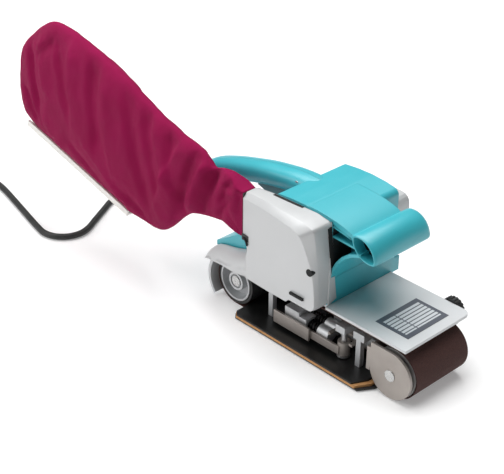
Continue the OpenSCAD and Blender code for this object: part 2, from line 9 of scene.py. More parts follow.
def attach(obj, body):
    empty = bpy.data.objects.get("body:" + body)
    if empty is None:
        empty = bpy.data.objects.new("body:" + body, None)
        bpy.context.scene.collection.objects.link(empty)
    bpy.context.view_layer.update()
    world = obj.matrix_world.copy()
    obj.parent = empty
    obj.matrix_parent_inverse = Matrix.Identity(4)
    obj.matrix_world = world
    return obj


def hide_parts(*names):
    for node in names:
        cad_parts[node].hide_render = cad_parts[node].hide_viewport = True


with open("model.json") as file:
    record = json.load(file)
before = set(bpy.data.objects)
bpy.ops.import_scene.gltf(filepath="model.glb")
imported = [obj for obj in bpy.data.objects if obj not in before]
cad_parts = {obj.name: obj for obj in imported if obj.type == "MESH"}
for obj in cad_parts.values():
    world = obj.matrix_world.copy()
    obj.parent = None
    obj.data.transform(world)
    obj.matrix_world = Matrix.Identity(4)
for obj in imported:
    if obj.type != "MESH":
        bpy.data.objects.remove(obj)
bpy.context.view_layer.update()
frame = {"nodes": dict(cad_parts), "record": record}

# Camera: off the front corner on the open side, looking down at about 30 degrees. Its three axes are
# written out, and its place is in millimetres like every other size here.
MM = 0.001
camera_data = bpy.data.cameras.new("camera")
camera_data.sensor_width = 36.0
camera_data.lens = 91.782
camera_data.clip_end = 20.0
camera = bpy.data.objects.new("camera", camera_data)
bpy.context.scene.collection.objects.link(camera)
camera_axes = Matrix((
    Vector((0.68699385, 0.72660999, 0.00879601)),
    Vector((-0.37042285, 0.33976154, 0.8644935)),
    Vector((0.62516107, -0.59715996, 0.50256703)),
)).transposed().to_4x4()
camera.matrix_world = Matrix.Translation(Vector((844.0628, -821.2184, 750.4724)) * MM) @ camera_axes
bpy.context.scene.camera = camera


# Power cord: round rubber-sheathed flex, moulded in one length. It leaves the handle, falls to the
# bench, bends round once and runs to a neat two-layer coil, with the plug's short tail on top.
class Wire:
    """A socket of a material's nodes, on which plain maths can be written."""

    def __init__(self, tree, socket):
        self.tree = tree
        self.socket = socket

    def maths(self, operation, *values):
        node = self.tree.nodes.new("ShaderNodeMath")
        node.operation = operation
        for spot, value in zip(node.inputs, values):
            if isinstance(value, Wire):
                self.tree.links.new(value.socket, spot)
            else:
                spot.default_value = value
        return Wire(self.tree, node.outputs[0])

    def __add__(self, other):
        return self.maths("ADD", self, other)

    def __sub__(self, other):
        return self.maths("SUBTRACT", self, other)

    def __rsub__(self, other):
        return self.maths("SUBTRACT", other, self)

    def __mul__(self, other):
        return self.maths("MULTIPLY", self, other)

    def __truediv__(self, other):
        return self.maths("DIVIDE", self, other)

    def above(self, level):
        return self.maths("GREATER_THAN", self, level)

    def fraction(self):
        return self.maths("FRACT", self)

    def sine(self):
        return self.maths("SINE", self)


class Finish:
    """A material of one surface finish, built up from nodes."""

    def __init__(self, name, roughness=0.5, metallic=0.0, **fixed):
        self.material = bpy.data.materials.new(name)
        self.material.use_nodes = True
        self.tree = self.material.node_tree
        self.surface = self.tree.nodes["Principled BSDF"]
        self.set("Roughness", roughness)
        self.set("Metallic", metallic)
        for socket, value in fixed.items():
            self.set(socket.replace("_", " "), value)
        self.place = self.node("ShaderNodeTexCoord", output="Object")

    def set(self, socket, value):
        if isinstance(value, Wire):
            self.tree.links.new(value.socket, self.surface.inputs[socket])
        else:
            self.surface.inputs[socket].default_value = value

    def node(self, kind, settings=(), output=0, **inputs):
        made = self.tree.nodes.new(kind)
        for name, value in dict(settings).items():
            setattr(made, name, value)
        for name, value in inputs.items():
            spot = made.inputs[name.replace("_", " ")]
            if isinstance(value, Wire):
                self.tree.links.new(value.socket, spot)
            else:
                spot.default_value = value
        return Wire(self.tree, made.outputs[output])

    def noise(self, scale, detail=2.0, roughness=0.5, stretch=None):
        place = self.place
        if stretch:
            place = self.node("ShaderNodeMapping", Vector=place, Scale=stretch)
        return self.node("ShaderNodeTexNoise", Vector=place, Scale=scale, Detail=detail, Roughness=roughness)

    def spots(self, scale):
        return self.node("ShaderNodeTexVoronoi", output="Distance", Vector=self.place, Scale=scale)

    def axis(self, name):
        return self.node("ShaderNodeSeparateXYZ", output=name, Vector=self.place)

    def steps(self, value, *stops):
        made = self.tree.nodes.new("ShaderNodeValToRGB")
        ramp = made.color_ramp
        while len(ramp.elements) < len(stops):
            ramp.elements.new(0.5)
        for element, (position, colour) in zip(ramp.elements, stops):
            element.position = position
            element.color = (*colour, 1.0)
        self.tree.links.new(value.socket, made.inputs["Fac"])
        return Wire(self.tree, made.outputs["Color"])

    def blend(self, share, first, second):
        made = self.tree.nodes.new("ShaderNodeMix")
        made.data_type = "RGBA"
        for spot, value in ((made.inputs[0], share), (made.inputs[6], first), (made.inputs[7], second)):
            if isinstance(value, Wire):
                self.tree.links.new(value.socket, spot)
            elif isinstance(value, tuple):
                spot.default_value = (*value, 1.0)
            else:
                spot.default_value = value
        return Wire(self.tree, made.outputs[2])

    def relief(self, height, depth, edge=0.0, strength=1.0):
        """Surface relief of that depth in metres; edge is the radius to which sharp edges are eased."""
        inputs = {"Height": height, "Distance": depth, "Strength": strength}
        if edge:
            inputs["Normal"] = self.node("ShaderNodeBevel", {"samples": 6}, Radius=edge)
        self.set("Normal", self.node("ShaderNodeBump", **inputs))


def grey(value):
    return (value, value, value)


rubber = Finish("sheath_rubber", roughness=0.55)
worn = rubber.noise(90.0, 4.0)
rubber.set("Base Color", rubber.steps(worn, (0.35, grey(0.012)), (0.75, grey(0.03))))
rubber.set("Roughness", worn * 0.25 + 0.42)
rubber.relief(rubber.noise(1500.0, 2.0), 0.0002)

CORD_R = 3.75
CORD_ROUTE = [
    (-140, 10, 69), (-154, 10.3, 62.5), (-168, 12, 53), (-181, 15, 41), (-193, 20, 28), (-205, 27, 16),
    (-219, 35, 7.5), (-235, 41, 4), (-250, 37, 4), (-261, 26, 4), (-265, 11, 4), (-261, -4, 4),
    (-253, -18, 4), (-245, -32, 4), (-237, -46, 4), (-229, -60, 4), (-225, -75, 4), (-229, -90, 4),
    (-240, -101, 4), (-255, -105, 4), (-270, -102.7, 4), (-287, -99, 4), (-304, -95, 4),
    (-322, -90.7, 4), (-340, -86.5, 4), (-358, -82.3, 4), (-376, -78.5, 4), (-394, -76, 4),
    (-412, -75, 4), (-430, -75, 4), (-448, -75, 4),
]
TAIL_ROUTE = [
    (-448, -180, 11.7), (-434, -180, 11.4), (-420, -180.5, 9.2), (-406, -181.3, 7.8), (-392, -182, 7.6),
]
COIL_MIDDLE = Vector((-448, -129.5, 0))
COIL_R = 54.5
COIL_PITCH = 7.56
COIL_Z = 4.0
TOUCH_SQUARED = 57.8
TOP_LAYER = (31.6, 50.5)


def between(a, b, c, d, t):
    """The value at share t of the way from b to c, on a smooth curve through all four."""
    return 0.5 * (2 * b + (c - a) * t + (2 * a - 5 * b + 4 * c - d) * t * t
                  + (3 * b - a - 3 * c + d) * t ** 3)


def smooth_line(points, spacing=4.0):
    """Points close together along a smooth curve through the given ones."""
    points = [Vector(p) for p in points]
    padded = [2 * points[0] - points[1], *points, 2 * points[-1] - points[-2]]
    line = []
    for a, b, c, d in zip(padded, padded[1:], padded[2:], padded[3:]):
        count = max(1, round((c - b).length / spacing))
        line += [between(a, b, c, d, i / count) for i in range(count)]
    return line + [points[-1]]


def coil_line():
    """Three turns inward on the bench, half a turn up, and two turns outward on top of them."""
    line = []
    for degree in range(100, 2070, 8):
        a = math.radians(degree)
        low = [COIL_R - COIL_PITCH * ((degree - 90) % 360 / 360 + k) for k in range(4)]
        if degree < 1170:
            r, z = COIL_R - COIL_PITCH * (degree - 90) / 360, COIL_Z
        elif degree < 1350:
            s = (degree - 1170) / 180
            z = COIL_Z + 6.75 * s * s * (3 - 2 * s)
            outer = COIL_R - COIL_PITCH * (degree - 450) / 360
            r = outer - math.sqrt(max(0.0, TOUCH_SQUARED - (z - COIL_Z) ** 2))
        else:
            s = (degree - 1350) / 720
            r = TOP_LAYER[0] + s * (TOP_LAYER[1] - TOP_LAYER[0])
            under = [x for x in low if x > 31.0]
            z = COIL_Z + max(math.sqrt(max(0.0, TOUCH_SQUARED - (r - x) ** 2)) for x in under)
        line.append(COIL_MIDDLE + Vector((r * math.cos(a), r * math.sin(a), z)))
    return line


cord_line = smooth_line(CORD_ROUTE) + coil_line() + smooth_line(TAIL_ROUTE)
cord_length = sum((b - a).length for a, b in zip(cord_line, cord_line[1:])) * MM


def on_body(piece, body, finish):
    """Gives a piece its finish, and fixes it to a moving or still part of the machine."""
    piece.data.materials.clear()
    piece.data.materials.append(finish.material)
    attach(piece, body)
    return piece


def swept(name, line, radius):
    """A round tube along a line of points, in millimetres."""
    curve = bpy.data.curves.new(name, "CURVE")
    curve.dimensions = "3D"
    curve.bevel_depth = radius * MM
    curve.bevel_resolution = 4
    curve.use_fill_caps = True
    spline = curve.splines.new("POLY")
    spline.points.add(len(line) - 1)
    for spot, p in zip(spline.points, line):
        spot.co = (*(p * MM), 1.0)
    spline.use_smooth = True
    piece = bpy.data.objects.new(name, curve)
    bpy.context.scene.collection.objects.link(piece)
    return piece


cord = on_body(swept("flex", cord_line, CORD_R), "frame", rubber)
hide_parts("power_cord", "cord_coil")


def solid(name, mesh, smooth=True, sharp_degrees=40.0):
    """A mesh object made from a bmesh in millimetres, smooth but for its sharp edges."""
    bmesh.ops.scale(mesh, vec=(MM, MM, MM), verts=mesh.verts)
    bmesh.ops.recalc_face_normals(mesh, faces=mesh.faces)
    limit = math.radians(sharp_degrees)
    for edge in mesh.edges:
        edge.smooth = len(edge.link_faces) == 2 and edge.calc_face_angle(0.0) < limit
    for face in mesh.faces:
        face.smooth = smooth
    data = bpy.data.meshes.new(name)
    mesh.to_mesh(data)
    mesh.free()
    piece = bpy.data.objects.new(name, data)
    bpy.context.scene.collection.objects.link(piece)
    return piece


def bridged(mesh, rings, closed=True):
    """Skins a run of equal rings of points, and closes the two ends."""
    loops = [[mesh.verts.new(p) for p in ring] for ring in rings]
    for a, b in zip(loops, loops[1:]):
        n = len(a)
        for i in range(n):
            mesh.faces.new((a[i], a[(i + 1) % n], b[(i + 1) % n], b[i]))
    if closed:
        mesh.faces.new(loops[0])
        mesh.faces.new(loops[-1])
    return loops


# Strain relief: a soft rubber sleeve moulded with ribs, pushed into the heel of the handle, and the
# moulded two-pin plug with a waisted grip and blank sides.
GUARD_FROM = Vector((-102, 10, 83.25))
GUARD_TO = Vector((-140, 10, 69))


def rings_along(start, end, profile, sides=24):
    """Round rings from start to end; the profile lists (share of the way, radius)."""
    axis = (end - start).normalized()
    side = axis.cross(Vector((0, 1, 0))).normalized()
    other = axis.cross(side)
    return [[start.lerp(end, share) + radius * (math.cos(a) * side + math.sin(a) * other)
             for a in (i * 2 * math.pi / sides for i in range(sides))] for share, radius in profile]


sleeve_profile = [(0.0, 6.1), (0.1, 7.1)]
for rib in range(7):
    start = 0.14 + rib * 0.115
    radius = 7.1 - 2.3 * start
    groove = radius - 0.9
    sleeve_profile += [(start, radius), (start + 0.05, radius), (start + 0.06, groove), (start + 0.1, groove)]
sleeve_profile += [(0.96, 4.9), (1.0, 4.5)]
sleeve_mesh = bmesh.new()
bridged(sleeve_mesh, rings_along(GUARD_FROM, GUARD_TO, sleeve_profile))
sleeve = on_body(solid("strain_relief", sleeve_mesh), "frame", rubber)
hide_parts("cord_guard")

moulding = Finish("plug_moulding", roughness=0.5)
moulding.set("Base Color", moulding.steps(moulding.noise(60.0, 3.0), (0.3, grey(0.012)), (0.8, grey(0.026))))
moulding.relief(moulding.noise(2200.0, 1.0), 0.00015, edge=0.0008)
plated = Finish("plated_pins", roughness=0.25, metallic=1.0, Base_Color=(0.72, 0.68, 0.6, 1.0))
plated.relief(plated.noise(700.0, 3.0), 0.00005, edge=0.0004)

PLUG_Y = -182
PLUG_Z = 7.7
PIN_APART = 19
plug_mesh = bmesh.new()
bridged(plug_mesh, rings_along(Vector((-393, PLUG_Y, PLUG_Z)), Vector((-377, PLUG_Y, PLUG_Z)),
                               [(0, 4.4), (0.1, 5.2), (0.5, 5.8), (1.0, 7.2)], 20))
bmesh.ops.create_cube(plug_mesh, size=1.0, matrix=Matrix.Translation((-364, PLUG_Y, PLUG_Z))
                      @ Matrix.Diagonal((28, 34, 15, 1)))
body_edges = [e for e in plug_mesh.edges if len(e.verts[0].link_edges) == 3 and e.calc_length() > 10]
bmesh.ops.bevel(plug_mesh, geom=body_edges, offset=4.0, segments=4, affect="EDGES", profile=0.5, material=-1)
plug = on_body(solid("mains_plug", plug_mesh), "frame", moulding)
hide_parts("plug")
pins_mesh = bmesh.new()
for pin_y in (PLUG_Y - PIN_APART / 2, PLUG_Y + PIN_APART / 2):
    bridged(pins_mesh, rings_along(Vector((-351, pin_y, PLUG_Z)), Vector((-331, pin_y, PLUG_Z)),
                                   [(0, 2.4), (0.9, 2.4), (0.97, 1.9), (1.0, 1.0)], 16))
pins = on_body(solid("plug_pins", pins_mesh), "frame", plated)

# Bench: a plain white sheet that glows a little, as an overlit studio table does, with a wide soft
# light overhead, one at the open side and hardly any from the front.
bench_mesh = bmesh.new()
bmesh.ops.create_grid(bench_mesh, x_segments=1, y_segments=1, size=8000.0)
bench = solid("bench", bench_mesh, smooth=False)
paper = Finish("white_paper", roughness=0.95, Base_Color=(0.8, 0.8, 0.8, 1.0),
               Emission_Color=(1.0, 1.0, 1.0, 1.0), Emission_Strength=0.24)
bench.data.materials.append(paper.material)
bpy.context.scene.view_settings.view_transform = "Standard"
world = bpy.data.worlds.new("studio")
bpy.context.scene.world = world
world.use_nodes = True
world.node_tree.nodes["Background"].inputs["Color"].default_value = (1.0, 1.0, 1.0, 1.0)
world.node_tree.nodes["Background"].inputs["Strength"].default_value = 0.13
for name, place, size, power in (
    ("overhead", Vector((-0.55, 0.25, 2.3)), 2.4, 84.0),
    ("window", Vector((-1.3, -2.0, 1.25)), 1.6, 26.0),
):
    lamp = bpy.data.lights.new(name, "AREA")
    lamp.size = size
    lamp.energy = power
    lamp_object = bpy.data.objects.new(name, lamp)
    lamp_object.location = place
    lamp_object.rotation_euler = (Vector((0.0, 0.0, 0.08)) - place).to_track_quat("-Z", "Y").to_euler()
    bpy.context.scene.collection.objects.link(lamp_object)

# Housing plastic: glass-filled nylon coloured right through, from a lightly eroded mould, its gloss varying a
# little at random.
teal = Finish("teal_nylon", roughness=0.36, Coat_Weight=0.35, Coat_Roughness=0.28)
cloudy = teal.noise(14.0, 3.0)
teal.set("Base Color", teal.blend(cloudy, (0.035, 0.42, 0.49), (0.05, 0.47, 0.55)))
teal.set("Roughness", teal.noise(60.0, 4.0) * 0.2 + 0.27)
teal.relief(teal.noise(1400.0, 2.0), 0.00012, edge=0.0012)
grey_teal = Finish("trigger_plastic", roughness=0.5)
grey_teal.set("Base Color", grey_teal.blend(grey_teal.noise(40.0), (0.10, 0.23, 0.25), (0.13, 0.27, 0.29)))
grey_teal.relief(grey_teal.noise(1600.0, 2.0), 0.00015, edge=0.0009)

HANDLE_PATH = [
    (92, 141), (76, 146), (59.4, 147.6), (41, 146.6), (26, 144.4), (11, 142), (-6, 138.4), (-22, 134.3),
    (-40, 129.4), (-58, 123.8), (-75, 117.2), (-88, 109), (-95, 99), (-96, 87.5), (-90.5, 78), (-80, 73.2),
    (-62, 72.6), (-44, 72.8), (-27.8, 73),
]
HANDLE_Y = 10
HANDLE_HALF = (11.9, 14.9)
HALF_SEAM = 0.16
handle_line = smooth_line([(x, HANDLE_Y, z) for x, z in HANDLE_PATH], 5.0)


def handle_ring(i, half_height, half_width):
    """Rounded section of the handle across its line at point i."""
    ahead = (handle_line[min(i + 1, len(handle_line) - 1)] - handle_line[max(i - 1, 0)]).normalized()
    normal = Vector((-ahead.z, 0, ahead.x))
    ring = []
    for k in range(32):
        a = k * math.pi / 16
        c, s = math.cos(a), math.sin(a)
        ring.append(handle_line[i] + half_height * math.copysign(abs(s) ** 0.82, s) * normal
                    + half_width * math.copysign(abs(c) ** 0.82, c) * Vector((0, 1, 0)))
    return ring


for name, node, keep_side in (
    ("handle_shell_right", "handle_right", -1),
    ("handle_shell_left", "handle_left", 1),
):
    handle_mesh = bmesh.new()
    bridged(handle_mesh, [handle_ring(i, *HANDLE_HALF) for i in range(len(handle_line))])
    whole = handle_mesh.verts[:] + handle_mesh.edges[:] + handle_mesh.faces[:]
    bmesh.ops.bisect_plane(handle_mesh, geom=whole, plane_co=(0, HANDLE_Y + HALF_SEAM * keep_side, 0),
                           plane_no=(0, -keep_side, 0), clear_outer=True)
    bmesh.ops.holes_fill(handle_mesh, edges=[e for e in handle_mesh.edges if e.is_boundary], sides=0)
    handle_shell = on_body(solid(name, handle_mesh, sharp_degrees=50), "frame", teal)
    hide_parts(node)

# Front grip: a hollow lens-shaped bar across the machine, moulded in one piece with the web, the ribs
# and the curved apron that carry it.
GRIP_BACK = Vector((161, 0, 152))
GRIP_FRONT = Vector((190.5, 0, 131.5))
GRIP_HALF_LENGTH = 40
GRIP_HALF_THICK = 14
WEB_Y = (-39.5, 29)
SIDES = 40


def grip_ring(y, grow=0.0):
    """The bar's lens-shaped section at y, grown outward by that much."""
    chord = (GRIP_FRONT - GRIP_BACK).normalized()
    normal = Vector((-chord.z, 0, chord.x))
    half = (GRIP_FRONT - GRIP_BACK).length / 2
    swell = 1 - 0.25 * (y / GRIP_HALF_LENGTH) ** 2
    ring = []
    for k in range(SIDES):
        a = k * 2 * math.pi / SIDES
        reach = (half + grow) * math.cos(a)
        bulge = (GRIP_HALF_THICK + grow) * swell * math.sin(a) * (0.55 + 0.45 * abs(math.sin(a)))
        ring.append((GRIP_BACK + GRIP_FRONT) / 2 + reach * chord + bulge * normal + Vector((0, y, 0)))
    return ring


grip_mesh = bmesh.new()
outer_stops = [-40, -39.2, -36, -30, -22, -12, 0, 12, 22, 30, 36, 39, 40]
outer_grow = [-1.0, -0.2, 0, 0, 0, 0, 0, 0, 0, 0, 0, -0.6, -2.2]
outer_rings = [grip_ring(y, grow) for y, grow in zip(outer_stops, outer_grow)]
inner_stages = ((-40, -2.4), (-38, -3.0), (-20, -3.0), (0, -3.0), (20, -3.2))
inner_rings = [grip_ring(y, grow) for y, grow in inner_stages]
outer_loops = bridged(grip_mesh, outer_rings, closed=False)
inner_loops = bridged(grip_mesh, inner_rings, closed=False)
grip_mesh.faces.new(outer_loops[-1])
grip_mesh.faces.new(inner_loops[-1])
for i in range(SIDES):
    j = (i + 1) % SIDES
    grip_mesh.faces.new((outer_loops[0][i], outer_loops[0][j], inner_loops[0][j], inner_loops[0][i]))


def slab_y(mesh, outline, y0, y1):
    """A slab with that outline in x and z, from y0 to y1."""
    face = mesh.faces.new([mesh.verts.new((x, y0, z)) for x, z in outline])
    top = bmesh.ops.extrude_face_region(mesh, geom=[face])["geom"]
    moved = [v for v in top if isinstance(v, bmesh.types.BMVert)]
    bmesh.ops.translate(mesh, vec=(0, y1 - y0, 0), verts=moved)


def arc(cx, cz, r, a0, a1, n):
    """Points of an arc in x and z round that centre, from angle a0 to a1 in degrees."""
    return [(cx + r * math.cos(math.radians(a0 + (a1 - a0) * i / n)),
             cz + r * math.sin(math.radians(a0 + (a1 - a0) * i / n))) for i in range(n + 1)]


slab_y(grip_mesh, [(136, 156), (136, 153.4), (150, 150.2), (163, 146.5), (163, 150.8), (158, 153.6),
                   (150, 156.0), (140, 158.0), (128, 159.4), (116, 160.1), (104, 160.4), (104, 158),
                   (130, 155)], *WEB_Y)
for (x0, z0), (x1, z1) in (((136.5, 152.0), (160, 148.5)), ((136.5, 141.5), (164, 140.5))):
    slab_y(grip_mesh, [(x0, z0), (x0, z0 - 1.9), (x1, z1 - 1.9), (x1, z1)], WEB_Y[0], -14)
slab_y(grip_mesh, [(136, 92), (139, 102), (144, 112), (151, 120.5), (160, 127.5), (172, 132.5), (172, 136),
                   (158, 130.5), (148.5, 123), (141.5, 114), (136, 103)], *WEB_Y)
grip = on_body(solid("front_grip_bar", grip_mesh), "frame", teal)
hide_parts("front_grip")

# Fan housing and rear hood: one die casting in satin silver paint. The fan chamber has a broad chamfer
# along its top and front, a near face that leans outward, and the mouth that the bag pushes onto.
silver = Finish("silver_paint", roughness=0.45, metallic=0.15)
mottle = silver.noise(9.0, 4.0)
silver.set("Base Color", silver.blend(mottle, (0.52, 0.53, 0.535), (0.59, 0.60, 0.605)))
silver.set("Roughness", silver.noise(45.0, 5.0) * 0.22 + 0.3)
silver.relief(silver.noise(1500.0, 3.0), 0.00016, edge=0.0012)


SEAM_Y = -42
CHAMBER_DEPTH = 18
CHAMBER_LEAN = 15


def share_of(value, start, span):
    """How far value is along a span from start, held between 0 and 1."""
    return min(max((value - start) / span, 0.0), 1.0)


def chamber_ring(depth, cut):
    """The chamber's outline at that depth from the seam; the top and front edges are set in by cut."""
    outline = [(34, 104), (37, 101), (39.5, 96), (40, 90), (38, 84), (38, 66), (38, 60), (40, 58), (70, 57),
               (96, 57), (98.5, 60), (101, 61), *arc(128, 69, 8, -90, 0, 6),
               *[(136, z) for z in (80, 92, 104, 114, 124, 133, 142)], *arc(131, 152, 5, 0, 70, 4),
               (118, 159.2), (90, 157.8), (60, 156.6), (34, 153.8)]
    ring = []
    for x, z in outline:
        front = share_of(x, 104, 30)
        upper = share_of(z, 100, 55)
        swell = share_of(x, 34, 92) * share_of(z, 60, 95) ** 2
        ring.append((x - cut * front * (0.25 + 1.3 * upper),
                     SEAM_Y - depth - depth / CHAMBER_DEPTH * CHAMBER_LEAN * swell,
                     z - cut * share_of(z, 125, 30)))
    return ring


fan_mesh = bmesh.new()
fan_stages = ((0, 0), (6, 0), (12.6, 0), (12.9, 0.1), (17.8, 5.4), (CHAMBER_DEPTH, 5.8))
bridged(fan_mesh, [chamber_ring(*stage) for stage in fan_stages])
slab_y(fan_mesh, [(24, 109), (34.5, 109), (34.5, 148.5), (24, 148.5)], -56, -44)
bridged(fan_mesh, [[(x, SEAM_Y, 157), (x, SEAM_Y, 63), (x, -30.5, 68), (x, -33, 84)] for x in (135.5, 136.7)])
fan_case = on_body(solid("fan_chamber", fan_mesh, sharp_degrees=22), "frame", silver)
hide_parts("fan_housing")

HOOD_STATIONS = [
    (-38, -47.5, 42.5, 43.5, 45), (-35.5, -48.2, 43.2, 47, 50.5), (-32, -48.8, 44.2, 49.5, 55.5),
    (-26, -49.8, 45.4, 52.5, 61.5), (-20, -51, 46.6, 55.5, 65.6), (-12, -52.8, 48.8, 57, 68.2),
    (-5, -54, 50.3, 58, 69.6), (5, -56, 51.5, 61, 71.6), (16, -57.6, 53, 65, 75.0), (27, -58.8, 55.5, 70, 80),
    (38, -59.4, 58, 75, 86), (46, -59.6, 59, 78, 90),
]


def hood_ring(x, side_y, low, shoulder, top):
    """The hood's section at x, from its lower edge at the side over the shoulder to its top."""
    ring = [(x, -41, low), (x, side_y + 1.2, low), (x, side_y, low + 1.4)]
    middle = (low + shoulder) / 2
    ring += [(x, side_y, middle)]
    for i in range(7):
        a = math.radians(i * 15)
        ring.append((x, side_y + (-43 - side_y) * (1 - math.cos(a)), middle + (top - middle) * math.sin(a)))
    return ring + [(x, -41, top)]


hood_mesh = bmesh.new()
bridged(hood_mesh, [hood_ring(*station) for station in HOOD_STATIONS])
hood = on_body(solid("rear_hood", hood_mesh, sharp_degrees=60), "frame", silver)

# Painted shade in the openings of the fan chamber and the grip: thin near-black pads stand in for the shade
# inside the slot, a screw's socket, the grip's hollow and the gap behind the ribs, and one marks the dark
# joint along the top.
# A bent steel clip at the mouth holds the bag.
# Near-black finish: painted shade on the pads in the openings, and the clip's own black colour.
dark = Finish("recess_shade_and_clip_black", roughness=0.8, Base_Color=(0.006, 0.006, 0.006, 1.0))
dark.relief(dark.noise(900.0), 0.0001)
# Pads of painted shade in the slot, the screw's socket, the grip's hollow and the gap behind the ribs; one
# more pad for the dark joint along the top.
shade_pad_mesh = bmesh.new()
slab_y(shade_pad_mesh, [(103, 70), (121, 70), (121, 72.6), (103, 72.6)], -62.6, -58)
slab_y(shade_pad_mesh, arc(131, 108, 3.9, 0, 360, 24)[:-1], -64.9, -58)
slab_y(shade_pad_mesh, [(x, z) for x, _, z in grip_ring(0, -3.2)], -27, -26)
slab_y(shade_pad_mesh, [(60, 150), (100, 150), (100, 158.7), (60, 157.0)], -44.4, -41.6)
bridged(shade_pad_mesh, [[(x, -46.5, 151), (x, -42, 152), (x, -34.2, 95), (x, -39, 95)] for x in (135.8, 137.0)])
bridged(shade_pad_mesh, [[(x, -39, 153), (x, -12, 153), (x, -12, 108), (x, -39, 104)] for x in (135.8, 136.3)])
on_body(solid("chamber_shade_pads", shade_pad_mesh), "frame", dark)
CLIP_ROUTE = [(35.5, -60.9, 105), (38.5, -61.8, 104.6), (41, -62, 101.5), (41.6, -61.6, 98)]
hook = swept("bag_clip", smooth_line(CLIP_ROUTE, 1.0), 1.1)
on_body(hook, "frame", dark)

# Every other part keeps its built shape and gets the finish of what it is made of: cast aluminium,
# rolled, ground and plated steel, moulded plastics, cork, rubber, copper and coated cloth.
cast = Finish("cast_aluminium", roughness=0.45, metallic=0.55)
cast.set("Base Color", cast.blend(cast.noise(12.0, 4.0), (0.50, 0.51, 0.52), (0.60, 0.61, 0.62)))
cast.set("Roughness", cast.noise(70.0, 5.0) * 0.3 + 0.3)
cast.relief(cast.noise(1300.0, 3.0), 0.00012, edge=0.001)
rolled = Finish("rolled_plate", roughness=0.45, metallic=0.12)
rolled.set("Base Color", rolled.blend(rolled.noise(20.0, 4.0), (0.60, 0.61, 0.62), (0.67, 0.68, 0.69)))
rolled.set("Roughness", rolled.noise(40.0, 5.0, stretch=(1.0, 20.0, 1.0)) * 0.25 + 0.3)
rolled.relief(rolled.noise(300.0, 3.0, stretch=(1.0, 30.0, 1.0)), 0.00003, edge=0.0008)
steel = Finish("passivated_steel", roughness=0.42, metallic=0.6)
steel.set("Base Color", steel.blend(steel.noise(35.0, 5.0), (0.33, 0.295, 0.27), (0.45, 0.41, 0.38)))
steel.set("Roughness", steel.noise(120.0, 5.0) * 0.3 + 0.28)
steel.relief(steel.noise(900.0, 3.0), 0.00006, edge=0.0006)
ground = Finish("ground_steel", roughness=0.25, metallic=0.95)
ground.set("Base Color", ground.blend(ground.noise(60.0, 3.0), (0.50, 0.50, 0.50), (0.62, 0.62, 0.61)))
ground.set("Roughness", ground.noise(500.0, 2.0, stretch=(1.0, 0.05, 1.0)) * 0.2 + 0.18)
ground.relief(ground.noise(900.0, 2.0, stretch=(1.0, 0.05, 1.0)), 0.00002, edge=0.0005)
zinc = Finish("zinc_plate", roughness=0.35, metallic=0.9)
zinc.set("Base Color", zinc.blend(zinc.noise(200.0), (0.42, 0.42, 0.43), (0.55, 0.55, 0.54)))
zinc.relief(zinc.noise(1500.0, 2.0), 0.00003, edge=0.0004)
black_oxide = Finish("black_steel_plate", roughness=0.4, metallic=0.3)
oxide_tone = black_oxide.noise(50.0, 4.0)
black_oxide.set("Base Color", black_oxide.steps(oxide_tone, (0.4, grey(0.008)), (0.8, grey(0.022))))
black_oxide.relief(black_oxide.noise(1200.0), 0.00005, edge=0.0005)
cork = Finish("pressed_cork", roughness=0.85)
cork.set("Base Color", cork.blend(cork.noise(260.0, 4.0), (0.42, 0.19, 0.06), (0.66, 0.36, 0.15)))
cork.relief(cork.noise(700.0, 4.0), 0.0003)
black_plastic = Finish("black_moulding", roughness=0.45)
moulded_tone = black_plastic.noise(30.0, 3.0)
black_plastic.set("Base Color", black_plastic.steps(moulded_tone, (0.3, grey(0.01)), (0.8, grey(0.024))))
black_plastic.relief(black_plastic.noise(1800.0, 2.0), 0.0001, edge=0.0008)
white_plastic = Finish("natural_nylon", roughness=0.5)
natural_tone = white_plastic.noise(30.0)
white_plastic.set("Base Color", white_plastic.blend(natural_tone, (0.66, 0.65, 0.60), (0.75, 0.74, 0.70)))
white_plastic.relief(white_plastic.noise(800.0), 0.00005, edge=0.0006)
ivory = Finish("bright_rail_plastic", roughness=0.3)
ivory.set("Base Color", ivory.blend(ivory.noise(25.0), (0.86, 0.85, 0.80), (0.92, 0.91, 0.87)))
ivory.relief(ivory.noise(500.0), 0.00004, edge=0.001)
lacquer = Finish("lacquered_copper", roughness=0.35, metallic=0.8)
lacquer.set("Base Color", lacquer.blend(lacquer.noise(300.0, 3.0), (0.55, 0.20, 0.07), (0.75, 0.36, 0.16)))
lacquer.relief((lacquer.axis("Y") * 6000.0).sine(), 0.0002, edge=0.0005)
laminated = Finish("stacked_sheets", roughness=0.45, metallic=0.7)
laminated.set("Base Color", laminated.blend(laminated.noise(60.0), (0.17, 0.17, 0.18), (0.26, 0.26, 0.27)))
laminated.relief((laminated.axis("Y") * 9000.0).sine(), 0.00015, edge=0.0005)
brass = Finish("stamped_brass", roughness=0.35, metallic=0.9)
brass.set("Base Color", brass.blend(brass.noise(90.0), (0.62, 0.44, 0.17), (0.74, 0.56, 0.27)))
brass.relief(brass.noise(1100.0), 0.00004, edge=0.0005)
carbon = Finish("pressed_carbon", roughness=0.6)
carbon.set("Base Color", carbon.steps(carbon.noise(400.0), (0.3, grey(0.02)), (0.8, grey(0.05))))
carbon.relief(carbon.noise(2500.0), 0.0001)
belt_rubber = Finish("ribbed_rubber", roughness=0.6)
rubber_tone = belt_rubber.noise(200.0)
belt_rubber.set("Base Color", belt_rubber.steps(rubber_tone, (0.3, grey(0.015)), (0.8, grey(0.035))))
belt_rubber.relief(belt_rubber.noise(900.0, 3.0), 0.0002, edge=0.0004)
iron = Finish("cut_iron", roughness=0.5, metallic=0.8)
iron.set("Base Color", iron.blend(iron.noise(80.0, 4.0), (0.20, 0.20, 0.20), (0.32, 0.32, 0.31)))
iron.relief(iron.noise(900.0, 3.0), 0.00008, edge=0.0004)
